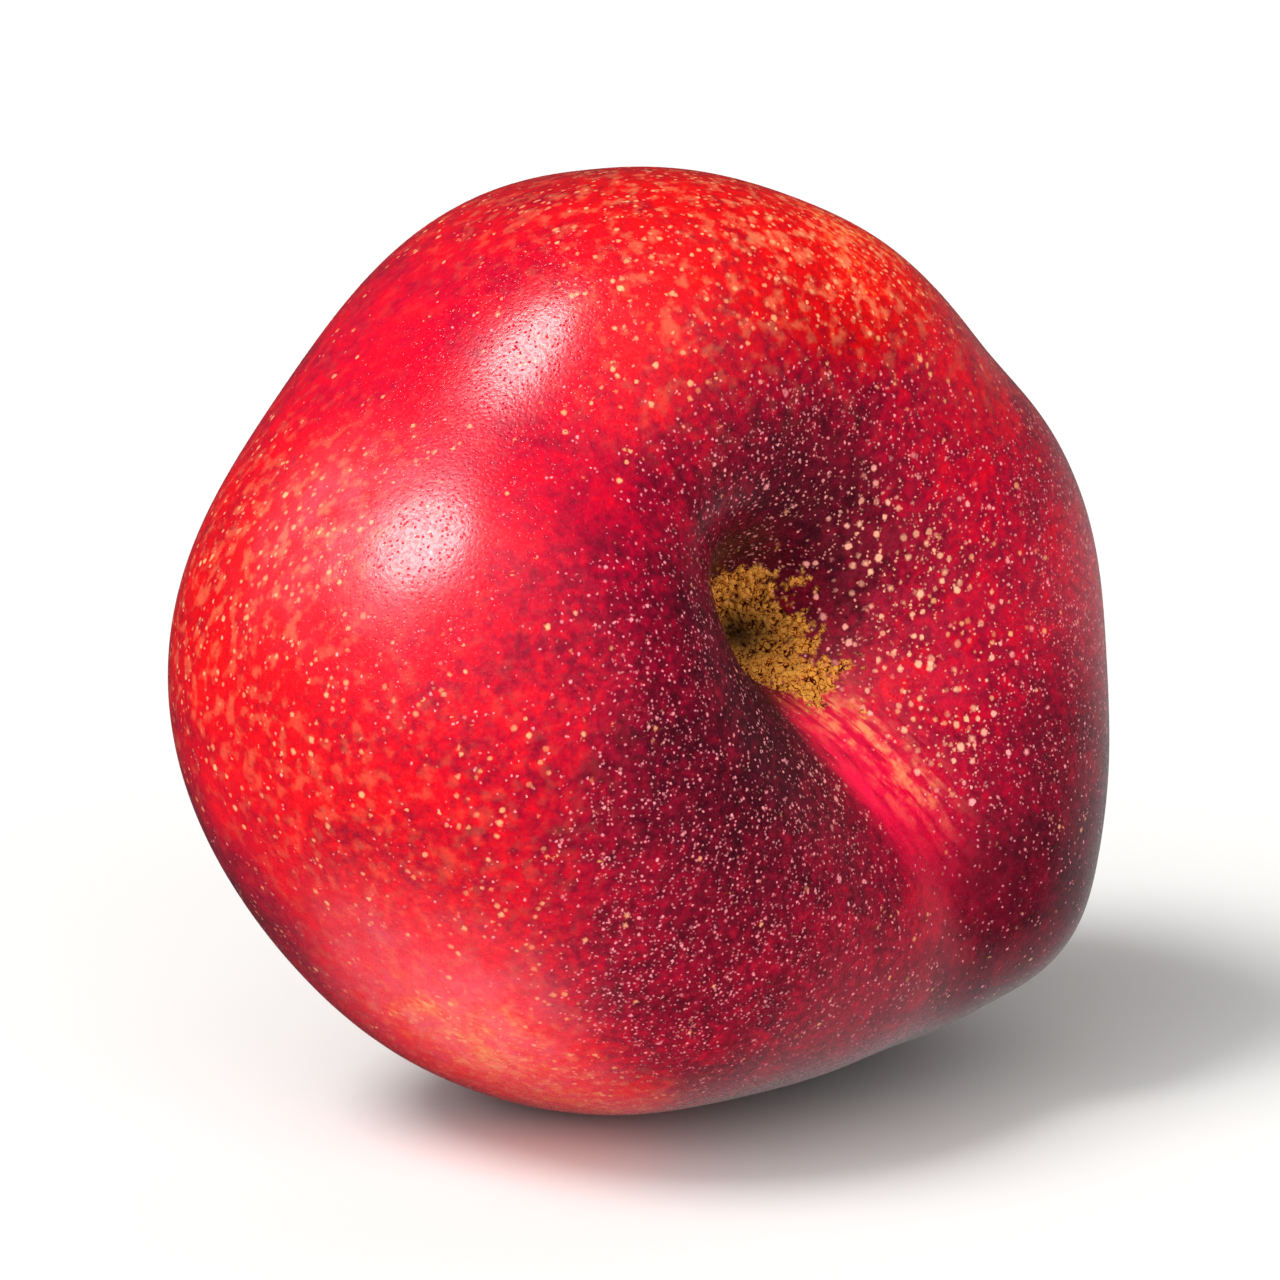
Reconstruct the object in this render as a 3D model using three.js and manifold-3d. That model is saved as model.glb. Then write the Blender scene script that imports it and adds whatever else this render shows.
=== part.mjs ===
// A flat nectarine, as picked: a smooth-skinned stone fruit, wider than it is thick.
// It grew as one piece, so it is one closed solid. Millimetres, +Z up.
//
// The fruit is described round its own blossom axis, which runs from the stem basin at the
// bottom through the flesh to the blossom pit at the top. A direction is given by two angles:
// the polar angle, 0 at the blossom pit, 90 on the widest girth and 180 at the stem, and the
// azimuth round the axis, 0 on the suture, the shallow seam that joins the pit to the stem.
// The fruit then lies on its side on the surface z = 0, on a small flat spot, with the
// blossom pit turned to the front (-Y) and right (+X). The origin is the flat spot's centre.
import * as THREE from 'three';
import { mergeVertices } from 'three/addons/utils/BufferGeometryUtils.js';
import Module from 'manifold-3d';

// Girth, seen along the blossom axis: a round of this radius with a few slow waves on it.
const GIRTH_RADIUS = 35.6;
const GIRTH_WAVES = [
  { lobes: 1, rise: 1.25, crest: -117 },
  { lobes: 2, rise: 0.9, crest: 36 },
  { lobes: 3, rise: 1.4, crest: 17 },
  { lobes: 5, rise: 0.8, crest: 15 },
];

// Side profile: the reach of each half along the axis before its hollow is sunk, and how
// full the shoulders are. A fullness of 2 is an ellipse, and more is squarer.
const BLOSSOM_HALF = 27;
const STEM_HALF = 23;
const FULLNESS = 2.7;

// Swellings (rise above 0) and hollows (below 0) of the skin: the angles of the middle,
// and how far each runs along the polar angle and across it, in degrees.
const SWELLINGS = [
  { name: 'valley between the two shoulders', polar: 63, azimuth: 202, rise: -1.4, along: 25, across: 14 },
  { name: 'nose', polar: 66, azimuth: 13, rise: 0.9, along: 20, across: 9 },
  { name: 'hollow beside the nose', polar: 73, azimuth: -12, rise: -0.6, along: 18, across: 10 },
  { name: 'flattened flank', polar: 62, azimuth: 99, rise: -0.6, along: 18, across: 9 },
  { name: 'high shoulder', polar: 66, azimuth: 123, rise: 0.5, along: 18, across: 10 },
  { name: 'low cheek', polar: 88, azimuth: -50, rise: 0.5, along: 18, across: 10 },
  { name: 'right cheek', polar: 60, azimuth: 68, rise: 0.75, along: 14, across: 16 },
  { name: 'flat of the upper shoulder', polar: 65, azimuth: -172, rise: -0.32, along: 9, across: 10 },
  { name: 'flat of the left shoulder', polar: 67, azimuth: -140, rise: -0.44, along: 8, across: 9 },
  { name: 'suture by the pit', polar: 42, azimuth: -4, rise: -1.2, along: 17, across: 7 },
  { name: 'suture round the girth', polar: 85, azimuth: 2, rise: -0.35, along: 25, across: 5 },
  { name: 'suture by the stem', polar: 132, azimuth: 0, rise: -1.1, along: 24, across: 6 },
];

// Blossom pit: a wide bowl, longer along the suture and leaning across it (wider on one side),
// with a narrow oval core off its middle.
const BOWL_DEPTH = 7.5;
const BOWL_ALONG_SUTURE = 20;
const BOWL_ACROSS_SUTURE = 14.5;
const BOWL_LEAN = 4;
const BOWL_PLACE = -1;
const CORE_DEPTH = 9;
const CORE_ALONG_SUTURE = 6.5;
const CORE_ACROSS_SUTURE = 4.6;
const CORE_PLACE = { suture: -4.2, cross: -1.2 };

// Stem basin: a round hollow. On its floor a raised collar rings the oval, dished scar that
// the stalk left, and a stub of the stalk's fibres stands in the dish.
const BASIN_DEPTH = 7;
const BASIN_RADIUS = 12.5;
const SCAR_ALONG_SUTURE = 4.4;
const SCAR_ACROSS_SUTURE = 5.3;
const COLLAR_RISE = 0.7;
const COLLAR_PLACE = 1.15;
const COLLAR_WIDTH = 0.22;
const DISH_DEPTH = 1.3;
const STUB_RISE = 1.4;
const STUB_RADIUS = 1.3;
const STUB_PLACE = { suture: 0.6, cross: -0.9 };

// The blossom hollow acts above the girth and the stem hollow below it, with a soft change
// over this thickness.
const CHANGEOVER = 2;

// How the fruit lies: turn about its own axis, slope and compass heading of the axis, and
// the axis' middle above and beside the flat spot.
const ROLL = 28.7;
const AXIS_SLOPE = 12.4;
const AXIS_HEADING = -50.9;
const MIDDLE = new THREE.Vector3(-1.2, -1.15, 33.05);

// Facets: meridians, rings, and how strongly the rings gather towards the pit and the stem.
const MERIDIANS = 96;
const RINGS = 50;
const RING_GATHER = 0.2;

const SKIN_COLOUR = 0xb01822;
const SKIN_ROUGHNESS = 0.35;

const radians = THREE.MathUtils.degToRad;

// A smooth hill of height 1 that fades out over the given reach.
function hill(distance, reach) {
  return Math.exp(-((distance / reach) ** 2));
}

// An angle in radians, brought between half a turn back and half a turn on.
function nearestTurn(angle) {
  return Math.atan2(Math.sin(angle), Math.cos(angle));
}

// Distance of the bare skin from the fruit's middle, before the two hollows are sunk.
function skinRadius(polar, azimuth) {
  const girth = GIRTH_WAVES.reduce(
    (sum, wave) => sum + wave.rise * Math.cos(wave.lobes * (azimuth - radians(wave.crest))),
    GIRTH_RADIUS,
  );
  const half = Math.cos(polar) > 0 ? BLOSSOM_HALF : STEM_HALF;
  const across = (Math.sin(polar) / girth) ** FULLNESS;
  const along = (Math.abs(Math.cos(polar)) / half) ** FULLNESS;
  let radius = (across + along) ** (-1 / FULLNESS);
  for (const swelling of SWELLINGS) {
    const middle = radians(swelling.polar);
    const down = polar - middle;
    const round = nearestTurn(azimuth - radians(swelling.azimuth)) * Math.sin(middle);
    radius += swelling.rise * hill(down, radians(swelling.along)) * hill(round, radians(swelling.across));
  }
  return radius;
}

// How far the blossom pit sinks the skin, at a place measured along and across the suture.
function pitDepth(suture, cross) {
  const reachAcross = BOWL_ACROSS_SUTURE + BOWL_LEAN * Math.tanh((2 * cross) / BOWL_ACROSS_SUTURE);
  const bowl = hill(suture - BOWL_PLACE, BOWL_ALONG_SUTURE) * hill(cross, reachAcross);
  const coreAlong = hill(suture - CORE_PLACE.suture, CORE_ALONG_SUTURE);
  const core = coreAlong * hill(cross - CORE_PLACE.cross, CORE_ACROSS_SUTURE);
  return BOWL_DEPTH * bowl + CORE_DEPTH * core;
}

// How far the stem basin sinks the skin, with the collar, the dished scar and the stub.
function basinDepth(suture, cross) {
  const basin = BASIN_DEPTH * hill(Math.hypot(suture, cross), BASIN_RADIUS);
  const oval = Math.hypot(suture / SCAR_ALONG_SUTURE, cross / SCAR_ACROSS_SUTURE);
  const collar = COLLAR_RISE * hill(oval - COLLAR_PLACE, COLLAR_WIDTH);
  const dish = DISH_DEPTH * Math.exp(-(oval ** 4));
  const fromStub = Math.hypot(suture - STUB_PLACE.suture, cross - STUB_PLACE.cross);
  return basin - collar + dish - STUB_RISE * hill(fromStub, STUB_RADIUS);
}

// The place on the skin in the direction of the two angles, in the fruit's own frame:
// x along the suture, y across it and z along the blossom axis.
function skinPoint(polar, azimuth) {
  const radius = skinRadius(polar, azimuth);
  const suture = radius * Math.sin(polar) * Math.cos(azimuth);
  const cross = radius * Math.sin(polar) * Math.sin(azimuth);
  const height = radius * Math.cos(polar);
  const blossomShare = 1 / (1 + Math.exp(-height / CHANGEOVER));
  const sunk = blossomShare * pitDepth(suture, cross) - (1 - blossomShare) * basinDepth(suture, cross);
  return new THREE.Vector3(suture, cross, height - sunk);
}

// The skin: a sphere whose every vertex is moved to its place on the fruit.
function skinGeometry() {
  const geometry = new THREE.SphereGeometry(1, MERIDIANS, RINGS).rotateX(Math.PI / 2);
  geometry.deleteAttribute('normal');
  geometry.deleteAttribute('uv');
  const merged = mergeVertices(geometry, 1e-5);
  const place = merged.getAttribute('position');
  const direction = new THREE.Vector3();
  for (let i = 0; i < place.count; i += 1) {
    direction.fromBufferAttribute(place, i);
    const even = Math.acos(THREE.MathUtils.clamp(direction.z, -1, 1));
    const polar = even - RING_GATHER * Math.sin(2 * even);
    const azimuth = Math.atan2(direction.y, direction.x);
    place.setXYZ(i, ...skinPoint(polar, azimuth).toArray());
  }
  return merged;
}

// A closed geometry as a solid that can be cut, and back again.
function solidOf(wasm, geometry) {
  return new wasm.Manifold(new wasm.Mesh({
    numProp: 3,
    vertProperties: Float32Array.from(geometry.getAttribute('position').array),
    triVerts: Uint32Array.from(geometry.getIndex().array),
  }));
}

function geometryOf(solid) {
  const mesh = solid.getMesh();
  const geometry = new THREE.BufferGeometry();
  geometry.setAttribute('position', new THREE.BufferAttribute(mesh.vertProperties, 3));
  geometry.setIndex(new THREE.BufferAttribute(mesh.triVerts, 1));
  geometry.computeVertexNormals();
  return geometry;
}

// A block that fills everything just below the surface the fruit lies on.
function groundBlock() {
  const side = 3 * GIRTH_RADIUS;
  const block = new THREE.BoxGeometry(side, side, side).translate(0, 0, -side / 2);
  block.deleteAttribute('normal');
  block.deleteAttribute('uv');
  return mergeVertices(block);
}

const wasm = await Module();
wasm.setup();

const lying = skinGeometry()
  .rotateZ(radians(ROLL))
  .rotateY(radians(90 - AXIS_SLOPE))
  .rotateZ(radians(AXIS_HEADING))
  .translate(MIDDLE.x, MIDDLE.y, MIDDLE.z);
const fruit = solidOf(wasm, lying).subtract(solidOf(wasm, groundBlock()));

const skin = new THREE.MeshStandardMaterial({
  color: SKIN_COLOUR,
  roughness: SKIN_ROUGHNESS,
  metalness: 0,
});
const nectarine = new THREE.Mesh(geometryOf(fruit), skin);
nectarine.name = 'nectarine';

const part = new THREE.Group();
part.add(nectarine);

export default part;
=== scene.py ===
"""A flat nectarine: red and maroon skin with pale freckles, a corky blossom pit and a stalk scar.

The fruit is one piece. Its shape is a formula round its own blossom axis: the polar angle is
0 at the blossom pit, 90 on the widest girth and 180 at the stem, and the azimuth is 0 on the
suture, the seam that joins the pit to the stem. In the fruit's own frame, x runs along the
suture, y across it and z up the blossom axis. Lengths of the fruit are in millimetres until
its mesh is placed, in metres, in the frame's own space.
"""

from math import radians, sin, cos

import bmesh
import bpy
import numpy as np
from bpy.props import FloatProperty, FloatVectorProperty, PointerProperty
from mathutils import Matrix, Vector, noise


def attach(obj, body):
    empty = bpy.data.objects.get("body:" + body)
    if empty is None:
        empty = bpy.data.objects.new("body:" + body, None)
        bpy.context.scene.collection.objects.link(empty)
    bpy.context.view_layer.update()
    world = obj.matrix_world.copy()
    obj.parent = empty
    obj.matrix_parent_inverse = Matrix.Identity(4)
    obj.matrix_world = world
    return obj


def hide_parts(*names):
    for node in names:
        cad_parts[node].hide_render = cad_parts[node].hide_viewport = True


bl_info = {
    "name": "Flat nectarine",
    "version": (1, 0, 0),
    "blender": (4, 5, 0),
    "location": "View3D > Sidebar > Nectarine",
    "description": "Builds a flat nectarine and the pale studio floor it lies on",
    "category": "Add Mesh",
}

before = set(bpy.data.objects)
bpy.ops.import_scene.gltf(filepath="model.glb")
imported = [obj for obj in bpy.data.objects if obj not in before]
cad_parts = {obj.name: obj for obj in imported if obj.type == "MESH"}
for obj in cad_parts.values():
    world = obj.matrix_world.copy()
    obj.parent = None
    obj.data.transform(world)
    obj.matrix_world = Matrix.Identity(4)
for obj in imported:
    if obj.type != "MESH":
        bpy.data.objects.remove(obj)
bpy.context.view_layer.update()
MM = 0.001

# ---------------- the fruit's form

# Girth: lobes round the fruit, how far they rise and where the crest is.
GIRTH_WAVES = [(1, 1.25, -117), (2, 0.9, 36), (3, 1.4, 17), (5, 0.8, 15)]
STEM_HALF = 23
FULLNESS = 2.7
# Swellings and hollows: polar angle, azimuth, rise, reach along and across, in degrees.
SWELLINGS = {
    "valley between the two shoulders": (63, 202, -1.4, 25, 14),
    "nose": (66, 13, 0.9, 20, 9),
    "hollow beside the nose": (73, -12, -0.6, 18, 10),
    "flattened flank": (62, 99, -0.6, 18, 9),
    "high shoulder": (66, 123, 0.5, 18, 10),
    "low cheek": (88, -50, 0.5, 18, 10),
    "right cheek": (60, 68, 0.75, 14, 16),
    "flat of the upper shoulder": (65, -172, -0.32, 9, 10),
    "flat of the left shoulder": (67, -140, -0.44, 8, 9),
    "suture by the pit": (42, -4, -1.2, 17, 7),
    "suture round the girth": (85, 2, -0.35, 25, 5),
    "suture by the stem": (132, 0, -1.1, 24, 6),
}
BOWL_ALONG_SUTURE = 20
BOWL_ACROSS_SUTURE = 14.5
BOWL_LEAN = 4
BOWL_PLACE = -1
CORE_ALONG_SUTURE = 6.5
CORE_ACROSS_SUTURE = 4.6
CORE_PLACE = (-4.2, -1.2)
BASIN_RADIUS = 12.5
SCAR_ALONG_SUTURE = 4.4
SCAR_ACROSS_SUTURE = 5.3
COLLAR_RISE = 0.7
COLLAR_PLACE = 1.15
COLLAR_WIDTH = 0.22
DISH_DEPTH = 1.3
STUB_RISE = 1.4
STUB_RADIUS = 1.3
STUB_PLACE = (0.6, -0.9)
CHANGEOVER = 2

# How the fruit lies, as in the solid model.
ROLL = 28.7
AXIS_SLOPE = 12.4
AXIS_HEADING = -50.9
MIDDLE = Vector((-1.2, -1.15, 33.05))

# The fine mesh: meridians, rings and how strongly the rings gather towards pit and stem.
MERIDIANS = 400
RINGS = 240
RING_GATHER = 0.32

# ---------------- where the marks lie

# The patch of cork in the pit: its reach, its place, how far out cork is looked for, and how
# sharp its edge is. Its fingers: how far each noise moves the edge, and the noise's waves per mm.
RUSSET_ALONG_SUTURE = 5.6
RUSSET_ACROSS_SUTURE = 2.9
RUSSET_PLACE = (-1.6, -0.2)
RUSSET_LIMIT = 1.7
RUSSET_EDGE = 0.16
RUSSET_FINGERS = [(0.5, 0.42), (0.4, 1.2), (0.35, 2.8)]
# The cork's ridges: how many per mm, how steep, and by how many mm their course is bent.
RIDGES_PER_MM = 1.3
RIDGE_STEEPNESS = 2.4
RIDGE_BEND = 0.8
BENDS_PER_MM = 0.9
# The throat at the pit's deepest place, painted dark as shade over the dark maroon skin, and the pit's steep
# wall: place and reach.
THROAT_RADIUS = 2.2
THROAT_PLACE = (-2.1, -0.5)
PIT_WALL_PLACE = (-1, -6)
PIT_WALL_REACH = (9, 7)
# The ring of large pores round the pit: polar angle, reach, the azimuth of its full side, and
# how strongly it keeps to that side.
PORE_RING_POLAR = 19
PORE_RING_REACH = 11
PORE_RING_SIDE = 50
PORE_RING_BIAS = 1.5
# The bright seam that runs out of the pit: where its middle starts and how it drifts across the
# suture, its reach to the steep side and how that widens, and its reach to the flat side.
SEAM_START = -3.6
SEAM_DRIFT = 0.14
SEAM_STEEP_REACH = 2.3
SEAM_WIDENING = 0.09
SEAM_STEEP_SOFTNESS = 0.35
SEAM_FLAT_REACH = 3.2
# The pale strands on the seam's flat side.
STRANDS_PLACE = 1.3
STRANDS_WIDTH = 1.9
# Where the seam leaves the pit, and where it and its strands end, each with its softness.
SEAM_BEGIN = (2, 0.7)
SEAM_END = (16, 2.2)
STRANDS_END = (14, 1.2)
# Above this share of the seam its strands take the place of the spokes round the axis.
STRANDS_FROM = 0.02
# The pale streak from the stalk scar along the suture: its half width, its two ends with their
# softness, and its waves: how far they reach, radians per mm, and radians at the start.
STREAK_WIDTH = 0.75
STREAK_BEGIN = (4.6, 0.2)
STREAK_END = (14, 1.5)
STREAK_WAVES = [(0.70, 0.62, 2.0), (0.18, 1.9, 0.0)]
# The stalk scar, in shares of its oval: the softness of its edge, its tan rim, and the flushed
# collar, which begins inside the rim and fades beyond its place. Then its folds, in waves per mm
# along and across the suture, and the reach of the dried fibres round the stub.
SCAR_EDGE = 0.12
RIM_PLACE = 1.02
RIM_WIDTH = 0.045
FLUSH_BEGIN = 0.9
FLUSH_PLACE = 1.10
FLUSH_WIDTH = 0.34
FOLDS_ALONG = 0.75
FOLDS_ACROSS = 0.40
FOLD_SLICE = 5.3
DRIED_REACH = 1.5
# The skin round the stem that fine spokes cross, in degrees from the stem.
STEM_REACH = 48
# The rubbed patch beside the stem basin: polar angle, azimuth and reach in degrees.
SCUFF_PLACE = (138, 200)
SCUFF_REACH = 13
# Spokes: waves round the axis at the pit, how many more at the stem, the polar angle and
# softness of the change, and waves per radian along a spoke and per mm along a strand.
SPOKES_AT_PIT = 9
SPOKES_MORE_AT_STEM = 17
SPOKES_CHANGE = (112, 8)
SPOKE_WAVES = 3
STRAND_WAVES = 0.18

# ---------------- the skin's patches

# Where the skin changes: polar angle, azimuth and reach in degrees, then the tone from
# 0 yellow over 0.4 red to 1 maroon, and the shares of bare yellow ground, of freckles and
# of pale waxy bloom; in places the bloom is painted sheen, the haze round the shine on the left
# shoulder, and painted reflection of the pale paper on the lower cheek. Between the patches the
# skin blends smoothly from one to the next.
PATCHES = {
    "dark rim above the pit": (20, 160, 9, 0.87, 0.0, 0.70, 0.0),
    "dark hollow above the pit": (28, 170, 9, 0.80, 0.0, 0.85, 0.0),
    "dark wall beside the pit": (15, 118, 7, 0.74, 0.0, 0.45, 0.0),
    "brow of the hollow": (40, 170, 9, 0.50, 0.0, 0.85, 0.0),
    "upper slope": (52, 172, 9, 0.25, 0.48, 0.55, 0.2),
    "yellow-speckled crown": (59, 148, 11, 0.36, 0.66, 0.60, 0.0),
    "speckled high shoulder": (60, 132, 8, 0.08, 1.0, 0.95, 0.0),
    "red upper edge": (76, 160, 12, 0.38, 0.38, 0.40, 0.0),
    "right shoulder": (50, 113, 8, 0.38, 0.15, 0.90, 0.1),
    "slope right of the hollow": (34, 120, 8, 0.52, 0.0, 0.95, 0.0),
    "upper cheek": (69, -174, 11, 0.42, 0.0, 0.12, 0.0),
    "crimson slope": (52, -158, 9, 0.46, 0.0, 0.30, 0.0),
    "slope left of the hollow": (36, -160, 7, 0.60, 0.0, 0.50, 0.0),
    "left shoulder": (67, -139, 10, 0.38, 0.05, 0.16, 0.30),
    # Painted sheen: the haze round the shine on the left shoulder.
    "left shoulder, bloom and painted sheen": (81, -142, 7, 0.30, 0.70, 0.30, 1.1),
    "red behind the upper cheek": (92, -171, 13, 0.38, 0.0, 0.05, 0.0),
    "crimson left edge": (94, -108, 7, 0.26, 0.12, 0.15, 0.0),
    # Painted shade along the lower left rim.
    "painted shade on the lower left rim": (104, -102, 8, 0.72, 0.0, 0.10, 0.0),
    "left edge": (100, -138, 12, 0.36, 0.55, 0.20, 0.0),
    "red left cheek": (86, -126, 11, 0.34, 0.34, 0.30, 0.0),
    "speckled left cheek": (72, -111, 11, 0.38, 0.28, 0.65, 0.0),
    "middle of the face": (56, -124, 9, 0.38, 0.04, 0.60, 0.0),
    "slope to the lip": (46, -130, 6, 0.53, 0.0, 0.60, 0.0),
    "upper lip": (34, -135, 7, 0.71, 0.0, 0.70, 0.0),
    "maroon lip": (34, -106, 7, 0.75, 0.0, 0.80, 0.0),
    "inner lip": (24, -95, 8, 0.84, 0.0, 0.70, 0.0),
    "maroon lower face": (48, -90, 8, 0.64, 0.0, 0.95, 0.0),
    "speckled lower face": (55, -68, 9, 0.60, 0.0, 1.00, 0.0),
    "lower lip": (35, -63, 8, 0.66, 0.0, 0.90, 0.0),
    "red lower cheek": (62, -98, 8, 0.38, 0.10, 0.70, 0.0),
    # Painted reflection of the pale paper on the lower cheek, over pink, yellow and peach skin.
    "lower cheek, pink with painted reflection": (79, -86, 9, 0.12, 0.22, 0.18, 1.2),
    "yellow lower edge with painted reflection": (85, -60, 8, 0.12, 0.75, 0.35, 0.9),
    "peach lower cheek with painted reflection": (82, -76, 7.5, -0.04, 0.9, 0.30, 1.1),
    "underside by the nose": (60, -36, 10, 0.60, 0.0, 0.45, 0.1),
    "beside the seam": (36, -24, 6, 0.60, 0.0, 0.50, 0.0),
    "crimson foot of the seam": (41, -16, 3.6, 0.38, 0.0, 0.25, 0.0),
    "maroon beside the seam's foot": (50, -2, 5, 0.66, 0.0, 0.25, 0.0),
    "right face": (26, 55, 11, 0.44, 0.0, 1.00, 0.0),
    "right face, upper part": (38, 82, 9, 0.51, 0.0, 1.00, 0.0),
    "right edge": (50, 66, 9, 0.54, 0.0, 0.70, 0.4),
    # The lower right and the nose are maroon skin, partly darkened as painted shade.
    "right edge, lower part": (42, 34, 8, 0.68, 0.0, 0.60, 0.05),
    "maroon nose": (56, 15, 9, 0.78, 0.0, 0.22, 0.0),
    "back of the nose": (90, 20, 20, 0.72, 0.0, 0.30, 0.0),
    "back flank": (90, 85, 22, 0.60, 0.10, 0.50, 0.0),
    "back crown": (100, 140, 20, 0.43, 0.30, 0.45, 0.0),
    "stem side left": (118, -150, 20, 0.47, 0.10, 0.20, 0.0),
    "stem side low": (112, -70, 20, 0.46, 0.10, 0.20, 0.1),
    "bright side of the basin": (140, 15, 17, 0.34, 0.0, 0.12, 0.0),
    "dark fold of the basin": (160, 170, 10, 0.92, 0.0, 0.10, 0.0),
    "round the stem": (150, 90, 30, 0.62, 0.0, 0.10, 0.0),
    "round the stem, low": (150, -90, 30, 0.62, 0.0, 0.10, 0.0),
}

# How far the patches run into each other.
PATCH_SOFTNESS = 1.35

# ---------------- colours and patterns

# Skin colours along the tone, from bare yellow ground to maroon: a warm red where the ground
# shows through, and crimson elsewhere.
WARM_TONES = [
    (0.00, "#F6A45C"),
    (0.12, "#F4521E"),
    (0.22, "#E80C0A"),
    (0.34, "#D20208"),
    (0.46, "#B6020E"),
    (0.57, "#94021A"),
    (0.70, "#6C031C"),
    (0.82, "#4C0416"),
    (1.00, "#30040E"),
]
CRIMSON_TONES = [
    (0.12, "#FC3450"),
    (0.22, "#F00824"),
    (0.34, "#D40222"),
    (0.46, "#B40228"),
    (0.57, "#8E0226"),
    (0.70, "#68031E"),
    (0.82, "#480417"),
    (1.00, "#2E040F"),
]
# Corky russet, from its cracks to its ridges; its palest ridge tones are partly painted highlight.
CORK_TONES_WITH_PAINTED_LIGHT = [(0.00, "#340403"), (0.24, "#983A08"), (0.50, "#F0800E"), (1.00, "#FFB44C")]
# The dished scar the stalk left, from its dark fibres to its fresh green flesh; its palest tones, on the
# folds, are partly painted highlight.
SCAR_TONES_WITH_PAINTED_LIGHT = [(0.00, "#4A3410"), (0.28, "#8A961A"), (0.56, "#C4CC30"), (1.00, "#F8F090")]
# Painted shade in the seam's creases, pale strands and spokes beside the seam, and painted shade in the pit's
# throat.
CREASE_SHADE_COLOUR = "#B00828"
PALE_STRAND_COLOUR = "#FFA468"
PIT_SPOKE_COLOUR = "#E0284A"
THROAT_SHADE_COLOUR = "#160203"
# The rubbed patch, the spokes, the pale streak, the flushed collar, the dried stub and the rim.
RUBBED_COLOUR = "#A25C68"
STEM_SPOKE_COLOUR = "#D02A58"
STREAK_COLOUR = "#FFBE98"
FLUSH_COLOUR = "#A0505C"
DRIED_COLOUR = "#6A3C22"
RIM_COLOUR = "#D89C54"

# Clouds of the skin: size in mm, then the noise's detail, roughness and distortion.
CLOUDS = {
    "drift": (9, 3, 0.5, 0),
    "blotch": (2.6, 4, 0.6, 0),
    "swell": (2.2, 2, 0.5, 0),
    "fleck": (1.2, 3, 0.5, 0),
    "fibre": (0.9, 5, 0.7, 0),
    "grain": (0.7, 1, 0.5, 0),
    "thread": (0.45, 4, 0.65, 2),
    "mottle": (0.4, 1, 0.5, 0),
    "dimple": (0.28, 2, 0.5, 0),
}
# Round dots and pores, one to a cell: the cell in freckle spacings, then the least and the
# greatest radius, in cells. Across, the dust is 0.15 to 0.2 mm, the fine pores 0.2 to 0.3 mm,
# the middling ones 0.2 to 0.4 mm, the peach ones 0.4 to 0.7 mm and the ringed ones 0.4 to 0.8 mm.
GROUND_DOTS = [(1.5, 0.24, 0.40), (2.4, 0.18, 0.30)]
DUST_PORES = (0.74, 0.24, 0.36)
FINE_PORES = (0.9, 0.24, 0.38)
MIDDLING_PORES = (1.45, 0.18, 0.30)
PEACH_PORES = (2.9, 0.17, 0.27)
RINGED_PORES = (2.4, 0.22, 0.38)
# Spacing of the cork's cracks and of the pits sunk in the skin, in mm.
CRACK_SPACING = 0.50
SUNKEN_SPACING = 0.38

# ---------------- the studio

# Where the key light and the two wide diffusers stand, seen from the fruit.
KEY_FROM = (-0.50, -0.20, 0.843)
FILL_FROM = (-0.08, -0.94, 0.24)
REAR_FROM = (0.25, 0.90, 0.35)
DIFFUSER_ANGLE = 120
# The glow of the key light's own diffuser, and the pale paper behind the fruit, which shines on
# its edges: the middle of each, and the cosines of its outer edge and of where it is full.
GLOW_FROM = (-0.57, -0.24, 0.785)
GLOW_EDGE = (0.87, 0.975)
PAPER_FROM = (0.60, 0.62, -0.50)
PAPER_EDGE = (0.70, 0.95)
# Half the side of the floor, in metres.
FLOOR_REACH = 4.0
# The picture's middle, in mm to the right of and above the fruit's own middle.
PICTURE_RIGHT = -1.27
PICTURE_UP = 1.0
# The width of the camera's sensor, in mm.
SENSOR_WIDTH = 36


class NectarineForm(bpy.types.PropertyGroup):
    """Sizes of the fruit"""

    girth_radius: FloatProperty(
        name="Girth radius", description="Radius of the round outline, seen along the blossom axis",
        default=35.6 * MM, unit="LENGTH")
    blossom_half: FloatProperty(
        name="Blossom half", description="From the middle to the shoulders on the blossom side",
        default=27 * MM, unit="LENGTH")
    bowl_depth: FloatProperty(
        name="Bowl depth", description="Depth of the wide bowl round the blossom pit",
        default=7.5 * MM, unit="LENGTH")
    core_depth: FloatProperty(
        name="Core depth", description="Depth of the narrow core below the bowl",
        default=9 * MM, unit="LENGTH")
    basin_depth: FloatProperty(
        name="Basin depth", description="Depth of the hollow the stalk stood in",
        default=7 * MM, unit="LENGTH")
    cork_relief: FloatProperty(
        name="Cork relief", description="Height of the wrinkles of the corky russet",
        default=0.40 * MM, unit="LENGTH")


def linear(hex_colour):
    """The linear RGBA of an sRGB colour written as #RRGGBB."""
    channels = [int(hex_colour[i:i + 2], 16) / 255 for i in (1, 3, 5)]
    return tuple(c / 12.92 if c <= 0.04045 else ((c + 0.055) / 1.055) ** 2.4 for c in channels) + (1.0,)


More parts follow.
